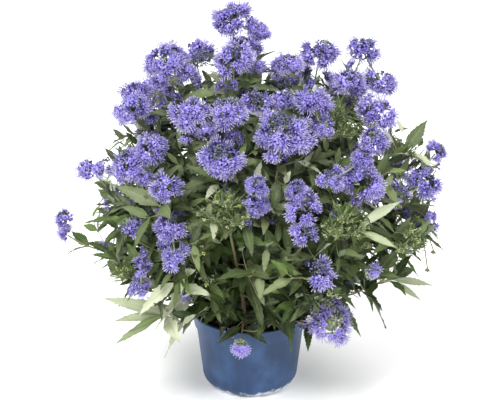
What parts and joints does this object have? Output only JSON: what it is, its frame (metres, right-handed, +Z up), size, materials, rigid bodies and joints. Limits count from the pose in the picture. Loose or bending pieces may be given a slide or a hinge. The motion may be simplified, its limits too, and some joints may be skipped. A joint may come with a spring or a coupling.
{
  "type": "potted bluebeard",
  "caption": "Bushy flowering bluebeard in a round nursery pot: leafy branching stems in soil, with toothed lance leaves and tiered violet-blue flower heads.",
  "frame": {"origin": "centre of the pot's flat underside", "axes": "+Z up along the pot's axis, -Y towards the side the picture shows, +X to that view's right"},
  "size_m": [0.5702, 0.5005, 0.5763],
  "materials": {
    "pot_plastic": "matte",
    "compost": "matte",
    "leaf_and_stem": "matte",
    "floret": "matte"
  },
  "bodies": {
    "root": {"head_back_1": "floret", "head_back_2": "floret", "head_back_3": "floret", "head_back_4": "floret", "head_back_5": "floret", "head_back_left_1": "floret", "head_back_left_2": "floret", "head_back_left_3": "floret", "head_back_left_4": "floret", "head_back_left_5": "floret", "head_back_right_1": "floret", "head_back_right_2": "floret", "head_back_right_3": "floret", "head_back_right_4": "floret", "head_back_right_5": "floret", "head_centre_1": "floret", "head_centre_2": "floret", "head_front_1": "floret", "head_front_2": "floret", "head_front_3": "floret", "head_front_left_1": "floret", "head_front_left_2": "floret", "head_front_middle_1": "floret", "head_front_right_1": "floret", "head_front_right_2": "floret", "head_front_right_3": "floret", "head_left_1": "floret", "head_left_2": "floret", "head_left_3": "floret", "head_left_4": "floret", "head_lower_left_1": "floret", "head_lower_left_2": "floret", "head_lower_left_3": "floret", "head_right_1": "floret", "head_right_2": "floret", "head_right_3": "floret", "head_right_4": "floret", "head_right_front_1": "floret", "head_right_front_2": "floret", "head_upper_left_1": "floret", "head_upper_left_2": "floret", "head_upper_right_1": "floret", "head_upper_right_2": "floret", "head_upper_right_3": "floret", "pot": "pot_plastic", "soil": "compost", "stem_back": "leaf_and_stem", "stem_back_left": "leaf_and_stem", "stem_back_right": "leaf_and_stem", "stem_centre": "leaf_and_stem", "stem_front": "leaf_and_stem", "stem_front_left": "leaf_and_stem", "stem_front_middle": "leaf_and_stem", "stem_front_right": "leaf_and_stem", "stem_left": "leaf_and_stem", "stem_lower_left": "leaf_and_stem", "stem_right": "leaf_and_stem", "stem_right_front": "leaf_and_stem", "stem_upper_left": "leaf_and_stem", "stem_upper_right": "leaf_and_stem"}
  },
  "joints": []
}
